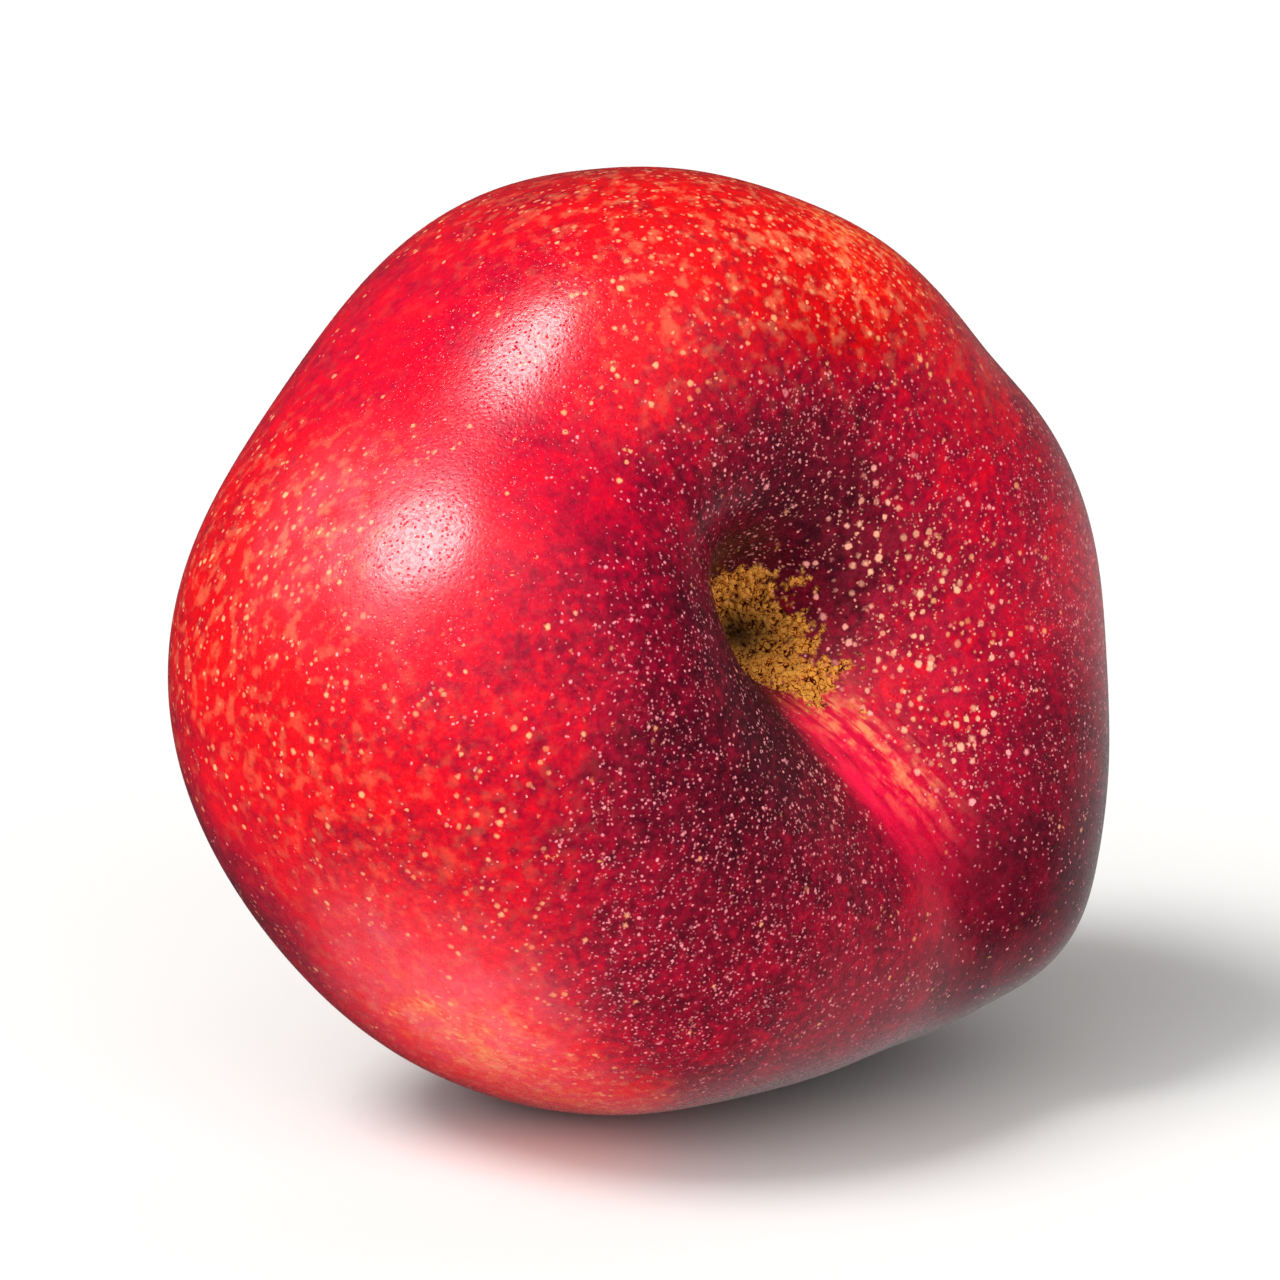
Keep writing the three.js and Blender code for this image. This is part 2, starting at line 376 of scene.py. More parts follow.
class NectarineSkin(bpy.types.PropertyGroup):
    """Colours and pattern sizes of the skin"""

    ground_colour: FloatVectorProperty(
        name="Ground", description="Yellow ground that shows where the red is thin",
        default=linear("#FFAC76"), size=4, subtype="COLOR")
    freckle_colour: FloatVectorProperty(
        name="Freckles", description="Pale breathing pores of the skin",
        default=linear("#FF96A0"), size=4, subtype="COLOR")
    warm_freckle_colour: FloatVectorProperty(
        name="Warm freckles", description="Large pores beside the pit",
        default=linear("#FFB48E"), size=4, subtype="COLOR")
    seam_colour: FloatVectorProperty(
        name="Seam", description="Bright streaks along the suture",
        default=linear("#FF0442"), size=4, subtype="COLOR")
    # Pale waxy bloom, which in places is painted sheen and painted reflection of the paper.
    bloom_and_sheen_colour: FloatVectorProperty(
        name="Bloom", description="Pale waxy bloom",
        default=linear("#FF687C"), size=4, subtype="COLOR")
    freckle_spacing: FloatProperty(
        name="Freckle spacing", description="Mean distance between the fine freckles",
        default=0.42 * MM, unit="LENGTH")
    skin_roughness: FloatProperty(
        name="Skin roughness", description="Roughness of the waxy skin", default=0.15, subtype="FACTOR")


class NectarineStage(bpy.types.PropertyGroup):
    """Floor, light and camera"""

    floor_colour: FloatVectorProperty(
        name="Floor", description="Seamless pale paper", default=linear("#D8D7D5"), size=4, subtype="COLOR")
    key_strength: FloatProperty(
        name="Key strength", description="Strength of the soft light from the upper left", default=2.3)
    low_glow: FloatProperty(
        name="Low glow", description="Brightness of the studio away from the lights", default=0.05)
    key_glow: FloatProperty(
        name="Key glow", description="Brightness of the wide diffuser round the key light", default=2.2)
    paper_glow: FloatProperty(
        name="Paper glow", description="Brightness of the paper behind the fruit, as its skin mirrors it",
        default=0.42)
    fill_strength: FloatProperty(
        name="Fill strength", description="Strength of the wide, weak light from the front", default=4.0)
    rear_strength: FloatProperty(
        name="Rear strength", description="Strength of the wide, weak light from behind", default=1.3)
    key_softness: FloatProperty(
        name="Key softness", description="Angle the soft light fills", default=radians(21), subtype="ANGLE")
    view_elevation: FloatProperty(
        name="View elevation", description="Angle of the camera above the surface",
        default=radians(15), subtype="ANGLE")
    view_distance: FloatProperty(
        name="View distance", description="From the camera to the fruit", default=0.52, unit="LENGTH")
    view_width: FloatProperty(
        name="View width", description="Width of the picture at the fruit", default=0.0962, unit="LENGTH")


# ---------------- the shape


def hill(distance, reach):
    """A smooth hill of height 1 that fades out over the reach."""
    return np.exp(-((distance / reach) ** 2))


def soft_step(value, place, softness):
    """Rises smoothly from 0 to 1 where the value passes the place."""
    return 1 / (1 + np.exp(-(value - place) / softness))


def soft_end(value, place, softness):
    """Falls smoothly from 1 to 0 where the value passes the place."""
    return soft_step(-value, -place, softness)


def nearest_turn(angle):
    """An angle in radians, brought between half a turn back and half a turn on."""
    return np.arctan2(np.sin(angle), np.cos(angle))


def skin_radius(form, polar, azimuth):
    """Distance of the bare skin from the fruit's middle, before the hollows are sunk."""
    girth = form.girth_radius / MM + sum(
        rise * np.cos(lobes * (azimuth - radians(crest))) for lobes, rise, crest in GIRTH_WAVES)
    half = np.where(np.cos(polar) > 0, form.blossom_half / MM, STEM_HALF)
    across = (np.sin(polar) / girth) ** FULLNESS
    along = (np.abs(np.cos(polar)) / half) ** FULLNESS
    radius = (across + along) ** (-1 / FULLNESS)
    for middle, turn, rise, reach_along, reach_across in SWELLINGS.values():
        down = np.degrees(polar) - middle
        round_ = np.degrees(nearest_turn(azimuth - radians(turn))) * sin(radians(middle))
        radius = radius + rise * hill(down, reach_along) * hill(round_, reach_across)
    return radius


def pit_depth(form, suture, cross):
    """How far the blossom pit sinks the skin, along and across the suture."""
    lean = BOWL_ACROSS_SUTURE + BOWL_LEAN * np.tanh(2 * cross / BOWL_ACROSS_SUTURE)
    bowl = hill(suture - BOWL_PLACE, BOWL_ALONG_SUTURE) * hill(cross, lean)
    core = (hill(suture - CORE_PLACE[0], CORE_ALONG_SUTURE)
            * hill(cross - CORE_PLACE[1], CORE_ACROSS_SUTURE))
    return form.bowl_depth / MM * bowl + form.core_depth / MM * core


def scar_oval(suture, cross):
    """Place across the oval stalk scar: 0 in its middle and 1 on its edge."""
    return np.hypot(suture / SCAR_ALONG_SUTURE, cross / SCAR_ACROSS_SUTURE)


def basin_depth(form, suture, cross):
    """How far the stem basin sinks the skin, with the collar, the dished scar and the stub."""
    basin = form.basin_depth / MM * hill(np.hypot(suture, cross), BASIN_RADIUS)
    oval = scar_oval(suture, cross)
    collar = COLLAR_RISE * hill(oval - COLLAR_PLACE, COLLAR_WIDTH)
    stub = STUB_RISE * hill(np.hypot(suture - STUB_PLACE[0], cross - STUB_PLACE[1]), STUB_RADIUS)
    return basin - collar + DISH_DEPTH * np.exp(-oval ** 4) - stub


def skin_points(form, polar, azimuth):
    """Places on the skin in the fruit's own frame."""
    radius = skin_radius(form, polar, azimuth)
    suture = radius * np.sin(polar) * np.cos(azimuth)
    cross = radius * np.sin(polar) * np.sin(azimuth)
    height = radius * np.cos(polar)
    blossom = soft_step(height, 0, CHANGEOVER)
    sunk = blossom * pit_depth(form, suture, cross) - (1 - blossom) * basin_depth(form, suture, cross)
    return np.stack([suture, cross, height - sunk], axis=-1)


def russet_share(points, blossom):
    """1 on the cork that lines the blossom pit, with a ragged, fingered edge, and 0 off it."""
    away = np.hypot((points[:, 0] - RUSSET_PLACE[0]) / RUSSET_ALONG_SUTURE,
                    (points[:, 1] - RUSSET_PLACE[1]) / RUSSET_ACROSS_SUTURE)
    share = np.zeros(len(points))
    for i in np.nonzero((away < RUSSET_LIMIT) & (blossom > 0.5))[0]:
        place = Vector(points[i])
        fingers = sum(reach * noise.noise(place * waves) for reach, waves in RUSSET_FINGERS)
        share[i] = max(0.0, min(1.0, (1.0 - away[i] + fingers) / RUSSET_EDGE + 0.5))
    return share


def cork_height(point):
    """Wrinkles of the cork, 0 in a crack and 1 on a ridge."""
    bend = noise.noise_vector(Vector(point) * BENDS_PER_MM) * RIDGE_BEND
    from_ridge = abs(noise.noise((Vector(point) + bend) * RIDGES_PER_MM))
    return max(0.0, 1 - from_ridge * RIDGE_STEEPNESS)


def round_mesh():
    """A round mesh, its rings gathered towards pit and stem, and its vertices' two angles."""
    bm = bmesh.new()
    bmesh.ops.create_uvsphere(bm, u_segments=MERIDIANS, v_segments=RINGS, radius=1)
    mesh = bpy.data.meshes.new("nectarine_fruit")
    bm.to_mesh(mesh)
    bm.free()
    unit = np.empty(len(mesh.vertices) * 3, np.float32)
    mesh.vertices.foreach_get("co", unit)
    unit = unit.reshape(-1, 3).astype(float)
    even = np.arccos(np.clip(unit[:, 2], -1, 1))
    return mesh, even - RING_GATHER * np.sin(2 * even), np.arctan2(unit[:, 1], unit[:, 0])


def move_vertices(mesh, places):
    """Moves every vertex of the mesh to its place."""
    mesh.vertices.foreach_set("co", places.astype(np.float32).ravel())
    mesh.update()


def skin_normals(mesh):
    """Unit vectors that stand on the skin, one to a vertex."""
    normals = np.empty(len(mesh.vertices) * 3, np.float32)
    mesh.vertex_normals.foreach_get("vector", normals)
    return normals.reshape(-1, 3)


def laid_down(points):
    """Places in the fruit's own frame, moved as the fruit lies and flat where it touches."""
    turn = (Matrix.Rotation(radians(AXIS_HEADING), 3, "Z")
            @ Matrix.Rotation(radians(90 - AXIS_SLOPE), 3, "Y")
            @ Matrix.Rotation(radians(ROLL), 3, "Z"))
    placed = points @ np.array(turn).T + np.array(MIDDLE)
    placed[:, 2] = np.maximum(placed[:, 2], 0)
    return placed


# ---------------- the marks


def direction(polar, azimuth):
    """Unit vectors of directions given by their two angles, in radians."""
    return np.stack([np.sin(polar) * np.cos(azimuth), np.sin(polar) * np.sin(azimuth), np.cos(polar)], -1)


def degrees_from(towards, polar, azimuth):
    """Angles in degrees between directions and the one whose two angles are given in degrees."""
    centre = direction(np.array(radians(polar)), np.array(radians(azimuth)))
    return np.degrees(np.arccos(np.clip(towards @ centre, -1, 1)))


def patch_values(towards):
    """Tone, ground, freckles and bloom, which in places is painted sheen, in each direction, blended from the
    patches round it.
    """
    # The sum starts just above 0, so that nothing is ever divided by 0.
    total = np.full(len(towards), 1e-9)
    values = np.zeros((len(towards), 4))
    for polar, azimuth, reach, *levels in PATCHES.values():
        weight = hill(degrees_from(towards, polar, azimuth), PATCH_SOFTNESS * reach)
        total += weight
        values += weight[:, None] * np.array(levels)
    return values / total[:, None]


def pit_marks(polar, azimuth, suture, cross, blossom):
    """The ring of large pores, the painted shade of the throat and the steep wall of the pit."""
    full_side = 0.5 + 0.5 * np.cos(azimuth - radians(PORE_RING_SIDE))
    from_throat = np.hypot(suture - THROAT_PLACE[0], cross - THROAT_PLACE[1])
    wall = (hill(suture - PIT_WALL_PLACE[0], PIT_WALL_REACH[0])
            * hill(cross - PIT_WALL_PLACE[1], PIT_WALL_REACH[1]))
    return {
        "near_pit": hill(np.degrees(polar) - PORE_RING_POLAR, PORE_RING_REACH) * full_side ** PORE_RING_BIAS,
        "throat": hill(from_throat, THROAT_RADIUS) * blossom,
        "pit_wall": wall * blossom,
    }


def seam_marks(suture, from_seam, blossom):
    """The bright seam out of the pit and the pale strands on its flat side."""
    out_of_pit = blossom * soft_step(suture, *SEAM_BEGIN)
    steep_side = soft_step(from_seam, -SEAM_STEEP_REACH - SEAM_WIDENING * suture, SEAM_STEEP_SOFTNESS)
    flat_side = hill(np.maximum(from_seam, 0), SEAM_FLAT_REACH)
    strands = hill(from_seam - STRANDS_PLACE, STRANDS_WIDTH)
    return {
        "seam": out_of_pit * steep_side * flat_side * soft_end(suture, *SEAM_END),
        "strands": out_of_pit * strands * soft_end(suture, *STRANDS_END),
    }


def stem_marks(towards, polar, suture, cross, stem):
    """The stalk scar with its rim, collar, folds and dried stub, and the skin round it."""
    oval = scar_oval(suture, cross)
    fold = np.zeros(len(suture))
    for i in np.nonzero((oval < FLUSH_PLACE) & (stem > 0.5))[0]:
        fold[i] = noise.noise(Vector((suture[i] * FOLDS_ALONG, cross[i] * FOLDS_ACROSS, FOLD_SLICE)))
    from_stub = np.hypot(suture - STUB_PLACE[0], cross - STUB_PLACE[1])
    from_streak = cross - sum(
        reach * np.sin(pace * suture + start) for reach, pace, start in STREAK_WAVES)
    streak_length = soft_step(suture, *STREAK_BEGIN) * soft_end(suture, *STREAK_END)
    return {
        "scar": np.clip((1 - oval) / SCAR_EDGE + 0.5, 0, 1) * stem,
        "scar_rim": hill(oval - RIM_PLACE, RIM_WIDTH) * stem,
        "collar": hill(np.maximum(oval - FLUSH_PLACE, 0), FLUSH_WIDTH) * stem * (oval > FLUSH_BEGIN),
        "fold": fold,
        "stub": hill(from_stub, DRIED_REACH) * stem,
        "stem_streak": streak_length * hill(from_streak, STREAK_WIDTH) * stem,
        "near_stem": hill(180 - np.degrees(polar), STEM_REACH),
        "scuff": hill(degrees_from(towards, *SCUFF_PLACE), SCUFF_REACH),
    }


def streak_places(polar, azimuth, suture, from_seam, seam):
    """Where each vertex lies among the spokes round the axis or, on the seam, its strands."""
    closeness = SPOKES_AT_PIT + SPOKES_MORE_AT_STEM * soft_step(np.degrees(polar), *SPOKES_CHANGE)
    around = np.stack([np.cos(azimuth), np.sin(azimuth)], -1) * (closeness * np.sqrt(np.sin(polar)))[:, None]
    spokes = np.concatenate([around, polar[:, None] * SPOKE_WAVES], axis=1)
    strands = np.stack([from_seam, suture * STRAND_WAVES, np.zeros(len(suture))], -1)
    return np.where(seam[:, None] > STRANDS_FROM, strands, spokes)


def build_fruit(form):
    """The fruit's fine mesh, placed as the solid lies, with the attributes its material reads."""
    mesh, polar, azimuth = round_mesh()
    points = skin_points(form, polar, azimuth)
    move_vertices(mesh, points)
    blossom = soft_step(points[:, 2], 0, CHANGEOVER)
    russet = russet_share(points, blossom)
    cork = np.zeros(len(points))
    for i in np.nonzero(russet > 0)[0]:
        cork[i] = cork_height(points[i])
    relief = form.cork_relief / MM * russet * (cork - 0.5)
    points = points + relief[:, None] * skin_normals(mesh)
    move_vertices(mesh, laid_down(points) * MM)

    towards = direction(polar, azimuth)
    tone, ground, freckles, bloom = patch_values(towards).T
    suture, cross = points[:, 0], points[:, 1]
    from_seam = cross - SEAM_START - SEAM_DRIFT * suture
    attributes = {
        "tone": tone, "ground": ground, "freckles": freckles, "bloom": bloom, "russet": russet, "cork": cork,
        **pit_marks(polar, azimuth, suture, cross, blossom),
        **seam_marks(suture, from_seam, blossom),
        **stem_marks(towards, polar, suture, cross, 1 - blossom),
    }
    for name, values in attributes.items():
        layer = mesh.attributes.new(name, "FLOAT", "POINT")
        layer.data.foreach_set("value", values.astype(np.float32))
    streak = streak_places(polar, azimuth, suture, from_seam, attributes["seam"])
    layer = mesh.attributes.new("streak", "FLOAT_VECTOR", "POINT")
    layer.data.foreach_set("vector", streak.astype(np.float32).ravel())

    mesh.polygons.foreach_set("use_smooth", np.ones(len(mesh.polygons), bool))
    mesh.update()
    fruit = bpy.data.objects.new("nectarine_fruit", mesh)
    bpy.context.scene.collection.objects.link(fruit)
    return fruit, list(attributes)


# ---------------- the materials


def add(tree, kind, inputs=None, output=0, **settings):
    """Adds a node with its settings, fills or links its inputs, and gives one of its outputs."""
    made = tree.nodes.new(kind)
    for name, value in settings.items():
        setattr(made, name, value)
    for name, value in (inputs or {}).items():
        if isinstance(value, bpy.types.NodeSocket):
            tree.links.new(value, made.inputs[name])
        else:
            made.inputs[name].default_value = value
    return made.outputs[output] if made.outputs else None


def set_tones(ramp, tones):
    """Gives a colour ramp its (place, hex colour) stops, and gives its output back."""
    stops = ramp.node.color_ramp.elements
    while len(stops) < len(tones):
        stops.new(0.5)
    for stop, (place, colour) in zip(stops, tones):
        stop.position = place
        stop.color = linear(colour)
    return ramp


def lay_over(tree, colour, cover, strength, shade):
    """Lays a shade over a colour where its cover says, as thickly as the strength says."""
    share = add(tree, "ShaderNodeMath", {0: cover, 1: strength}, operation="MULTIPLY")
    # The node's inputs 6 and 7 and its output 2 are the ones for colours.
    return add(tree, "ShaderNodeMix", {0: share, 6: colour, 7: shade}, 2, data_type="RGBA")


def pore_layer(tree, place, spacing, share, pores):
    """Round pores, one to a cell, in the share of the cells that is given.

    Gives the pores' cover, the distance from each pore's middle and its radius.
    """
    cell, small, large = pores
    distance = add(tree, "ShaderNodeTexVoronoi", {"Vector": place, "Scale": 1 / (cell * spacing)}, "Distance")
    chance = add(tree, "ShaderNodeSeparateColor", {"Color": distance.node.outputs["Color"]}, "Red")
    radius = add(tree, "ShaderNodeMath", {0: chance, 1: large - small, 2: small}, operation="MULTIPLY_ADD")
    kept = add(tree, "ShaderNodeMath", {0: chance.node.outputs["Green"], 1: share}, operation="LESS_THAN")
    core = add(tree, "ShaderNodeMath", {0: radius, 1: 0.5}, operation="MULTIPLY")
    inside = add(tree, "ShaderNodeMapRange", {"Value": distance, "From Min": radius, "From Max": core})
    cover = add(tree, "ShaderNodeMath", {0: inside, 1: kept}, operation="MULTIPLY")
    # Some pores are bright and some are faint.
    bright = add(tree, "ShaderNodeMath", {0: chance.node.outputs["Blue"], 1: 0.70, 2: 0.30},
                 operation="MULTIPLY_ADD")
    cover = add(tree, "ShaderNodeMath", {0: cover, 1: bright}, operation="MULTIPLY")
    return cover, distance, radius


def skin_clouds(tree, place, streak):
    """The noises that vary the skin, by name."""
    clouds = {}
    for name, (size, detail, roughness, distortion) in CLOUDS.items():
        clouds[name] = add(tree, "ShaderNodeTexNoise", {
            "Vector": place, "Scale": 1 / (size * MM), "Detail": detail, "Roughness": roughness,
            "Distortion": distortion})
    # Spokes round the pit and strands along the seam, under 1 mm across and drawn out lengthwise.
    clouds["strand"] = add(tree, "ShaderNodeTexNoise",
                           {"Vector": streak, "Scale": 1.1, "Detail": 3.0, "Roughness": 0.6})
    clouds["pale strand"] = add(tree, "ShaderNodeMapRange",
                                {"Value": clouds["strand"], "From Min": 0.42, "From Max": 0.56},
                                interpolation_type="SMOOTHSTEP")
    return clouds


def uneven_places(tree, place):
    """Places shifted by a quarter-millimetre noise, which makes the pores' outlines uneven."""
    shift = add(tree, "ShaderNodeTexNoise",
                {"Vector": place, "Scale": 1 / (0.25 * MM), "Detail": 1.0, "Roughness": 0.5}, "Color")
    shift = add(tree, "ShaderNodeVectorMath", {0: shift, 1: (0.5, 0.5, 0.5)}, operation="SUBTRACT")
    shift = add(tree, "ShaderNodeVectorMath", {0: shift, "Scale": 0.22 * MM}, operation="SCALE")
    return add(tree, "ShaderNodeVectorMath", {0: place, 1: shift}, operation="ADD")


def toned_skin(tree, painted, clouds):
    """The colour of the patches, clouded; warm where there is yellow ground."""
    tone = add(tree, "ShaderNodeMath", {0: clouds["drift"], 1: 0.22, 2: painted["tone"]},
               operation="MULTIPLY_ADD")
    # Blotchier beside the pit, grainier where the pores are many, and streakier round the stem.
    blotchy = add(tree, "ShaderNodeMath", {0: painted["near_pit"], 1: 0.40, 2: 0.32},
                  operation="MULTIPLY_ADD")
    grainy = add(tree, "ShaderNodeMapRange", {
        "Value": painted["freckles"], "From Min": 0.15, "From Max": 0.60, "To Min": 0.16, "To Max": 0.44})
    streaky = add(tree, "ShaderNodeMath", {0: painted["near_stem"], 1: 0.35, 2: 0.30},
                  operation="MULTIPLY_ADD")
    for name, strength in (("blotch", blotchy), ("grain", grainy), ("mottle", 0.12), ("strand", streaky)):
        centred = add(tree, "ShaderNodeMath", {0: clouds[name], 1: 0.5}, operation="SUBTRACT")
        tone = add(tree, "ShaderNodeMath", {0: centred, 1: strength, 2: tone}, operation="MULTIPLY_ADD")
    # Takes off the mean that the drift adds.
    tone = add(tree, "ShaderNodeMath", {0: tone, 1: 0.09}, operation="SUBTRACT")
    warm = set_tones(add(tree, "ShaderNodeValToRGB", {"Fac": tone}), WARM_TONES)
    crimson = set_tones(add(tree, "ShaderNodeValToRGB", {"Fac": tone}), CRIMSON_TONES)
    return lay_over(tree, crimson, painted["ground"], 2.5, warm)


def bloom_and_sheen_veil(tree, painted, clouds):
    """How thickly the pale waxy bloom, in places painted sheen and painted reflection, lies in soft clouds.
    """
    cloud = add(tree, "ShaderNodeMapRange", {
        "Value": clouds["blotch"], "From Min": 0.25, "From Max": 0.75, "To Min": 0.25, "To Max": 0.65},
        interpolation_type="SMOOTHSTEP")
    return add(tree, "ShaderNodeMath", {0: painted["bloom"], 1: cloud}, operation="MULTIPLY")


def with_ground(tree, skin, painted, clouds, pore_place, colour):
    """Yellow ground showing through the red, in a faint mottle and in dots that run together."""
    ground_colour = tuple(skin.ground_colour)
    bare = add(tree, "ShaderNodeMapRange",
               {"Value": clouds["fleck"], "From Min": 0.48, "From Max": 0.70, "To Max": 0.50},
               interpolation_type="SMOOTHSTEP")
    colour = lay_over(tree, colour, bare, painted["ground"], ground_colour)
    patchy = add(tree, "ShaderNodeMath", {0: clouds["blotch"], 1: 1.9, 2: -1.02}, operation="MULTIPLY_ADD")
    share = add(tree, "ShaderNodeMath", {0: painted["ground"], 1: patchy}, operation="ADD")
    for dots in GROUND_DOTS:
        cover, _, _ = pore_layer(tree, pore_place, skin.freckle_spacing, share, dots)
        colour = lay_over(tree, colour, cover, 0.80, ground_colour)
    return colour


def with_seam(tree, skin, painted, clouds, colour):
    """The bright band out of the pit along the suture, the painted shade of its creases, pale strands and
    spokes.
    """
    uneven = add(tree, "ShaderNodeMapRange", {
        "Value": clouds["strand"], "From Min": 0.36, "From Max": 0.58, "To Min": 0.45, "To Max": 1.15})
    crease_shade = add(tree, "ShaderNodeMapRange", {"Value": clouds["strand"], "From Min": 0.40, "From Max": 0.30},
                 interpolation_type="SMOOTHSTEP")
    pale = add(tree, "ShaderNodeMath", {0: clouds["pale strand"], 1: painted["strands"]},
               operation="MULTIPLY")
    broken = add(tree, "ShaderNodeMapRange", {
        "Value": clouds["fleck"], "From Min": 0.42, "From Max": 0.60, "To Min": 0.05, "To Max": 0.85})
    spokes = add(tree, "ShaderNodeMath", {0: clouds["pale strand"], 1: painted["near_pit"]},
                 operation="MULTIPLY")
    for cover, strength, shade in (
            (painted["seam"], uneven, tuple(skin.seam_colour)),
            # Painted shade in the seam's creases.
            (painted["seam"], crease_shade, linear(CREASE_SHADE_COLOUR)),
            (pale, broken, linear(PALE_STRAND_COLOUR)),
            (spokes, 0.22, linear(PIT_SPOKE_COLOUR))):
        colour = lay_over(tree, colour, cover, strength, shade)
    return colour


def with_pores(tree, skin, painted, clouds, place, pore_place, colour):
    """Pale pores: dust, fine, middling and peach ones, and large ringed ones beside the pit."""
    spacing = skin.freckle_spacing
    ground_colour = tuple(skin.ground_colour)
    clusters = add(tree, "ShaderNodeMapRange", {
        "Value": clouds["blotch"], "From Min": 0.35, "From Max": 0.65, "To Min": 0.4, "To Max": 1.2})
    share = add(tree, "ShaderNodeMath", {0: painted["freckles"], 1: clusters}, operation="MULTIPLY")
    share = add(tree, "ShaderNodeMath", {0: painted["seam"], 1: -0.7, 2: share}, operation="MULTIPLY_ADD")
    # On red skin most fine pores give way to a few larger peach ones.
    red = add(tree, "ShaderNodeMapRange", {"Value": painted["tone"], "From Min": 0.56, "From Max": 0.42})
    peachy = add(tree, "ShaderNodeMath", {0: share, 1: red}, operation="MULTIPLY")
    share = add(tree, "ShaderNodeMath", {0: peachy, 1: -0.80, 2: share}, operation="MULTIPLY_ADD")
    dusty = add(tree, "ShaderNodeMath", {0: share, 1: 0.35}, operation="SUBTRACT")
    fewer = add(tree, "ShaderNodeMath", {0: share, 1: 0.75}, operation="MULTIPLY")
    many = add(tree, "ShaderNodeMath", {0: painted["near_pit"], 1: 1.6}, operation="MULTIPLY")
    many = add(tree, "ShaderNodeMath", {0: painted["seam"], 1: -0.9, 2: many}, operation="MULTIPLY_ADD")
    peach, _, _ = pore_layer(tree, pore_place, spacing, peachy, PEACH_PORES)
    dust, _, _ = pore_layer(tree, place, spacing, dusty, DUST_PORES)
    fine, _, _ = pore_layer(tree, pore_place, spacing, share, FINE_PORES)
    middling, _, _ = pore_layer(tree, pore_place, spacing, fewer, MIDDLING_PORES)
    ringed, apart, radius = pore_layer(tree, pore_place, spacing, many, RINGED_PORES)
    # A ringed pore is fainter in its middle.
    eye_edge = add(tree, "ShaderNodeMath", {0: radius, 1: 0.4}, operation="MULTIPLY")
    eye = add(tree, "ShaderNodeMapRange",
              {"Value": apart, "From Min": 0.0, "From Max": eye_edge, "To Min": 0.5, "To Max": 1.0})
    ringed = add(tree, "ShaderNodeMath", {0: ringed, 1: eye}, operation="MULTIPLY")
    cream = lay_over(tree, tuple(skin.freckle_colour), painted["ground"], 1.0, ground_colour)
    cream = lay_over(tree, cream, many, 1.0, tuple(skin.warm_freckle_colour))
    for cover, strength, shade in ((peach, 0.95, ground_colour), (dust, 0.60, cream), (fine, 0.90, cream),
                                   (middling, 1.05, cream), (ringed, 1.25, cream)):
        colour = lay_over(tree, colour, cover, strength, shade)
    return colour


def with_cork(tree, painted, clouds, place, colour):
    """Golden cork in the pit, with dark crooked cracks and ridges partly painted highlight, and painted shade
    in the throat.
    """
    bend = add(tree, "ShaderNodeTexNoise", {"Vector": place, "Scale": 1 / (0.6 * MM), "Detail": 2.0}, "Color")
    bend = add(tree, "ShaderNodeVectorMath", {0: bend, "Scale": 0.9 * MM}, operation="SCALE")
    crooked = add(tree, "ShaderNodeVectorMath", {0: place, 1: bend}, operation="ADD")
    cracks = add(tree, "ShaderNodeTexVoronoi", {"Vector": crooked, "Scale": 1 / (CRACK_SPACING * MM)},
                 "Distance", feature="DISTANCE_TO_EDGE")
    cracks = add(tree, "ShaderNodeMapRange", {"Value": cracks, "From Max": 0.16, "To Min": -0.45})
    crumbs = add(tree, "ShaderNodeMath", {0: clouds["thread"], 1: 2.8, 2: -1.45}, operation="MULTIPLY_ADD")
    crumbs = add(tree, "ShaderNodeMath", {0: crumbs, 1: cracks}, operation="ADD")
    crumbs = add(tree, "ShaderNodeMath", {0: painted["cork"], 1: 0.90, 2: crumbs}, operation="MULTIPLY_ADD")
    # The cork's ridges are lighter partly as painted highlight.
    cork = set_tones(add(tree, "ShaderNodeValToRGB", {"Fac": crumbs}), CORK_TONES_WITH_PAINTED_LIGHT)
    colour = lay_over(tree, colour, painted["russet"], 1.0, cork)
    # Painted shade at the pit's deepest place, over the dark maroon skin.
    return lay_over(tree, colour, painted["throat"], 0.95, linear(THROAT_SHADE_COLOUR))


def with_stem_side(tree, painted, clouds, colour):
    """Round the stem: rubbed, dull pink skin, fine pale spokes and the streak of the suture."""
    rubbed = add(tree, "ShaderNodeMapRange",
                 {"Value": clouds["blotch"], "From Min": 0.48, "From Max": 0.62, "To Max": 0.32},
                 interpolation_type="SMOOTHSTEP")
    spokes = add(tree, "ShaderNodeMath", {0: clouds["pale strand"], 1: painted["near_stem"]},
                 operation="MULTIPLY")
    ragged = add(tree, "ShaderNodeMapRange", {
        "Value": clouds["fleck"], "From Min": 0.38, "From Max": 0.58, "To Min": 0.10, "To Max": 1.0})
    for cover, strength, shade in (
            (painted["scuff"], rubbed, RUBBED_COLOUR),
            (spokes, 0.18, STEM_SPOKE_COLOUR),
            (painted["stem_streak"], ragged, STREAK_COLOUR),
            (painted["collar"], 0.55, FLUSH_COLOUR)):
        colour = lay_over(tree, colour, cover, strength, linear(shade))
    return colour


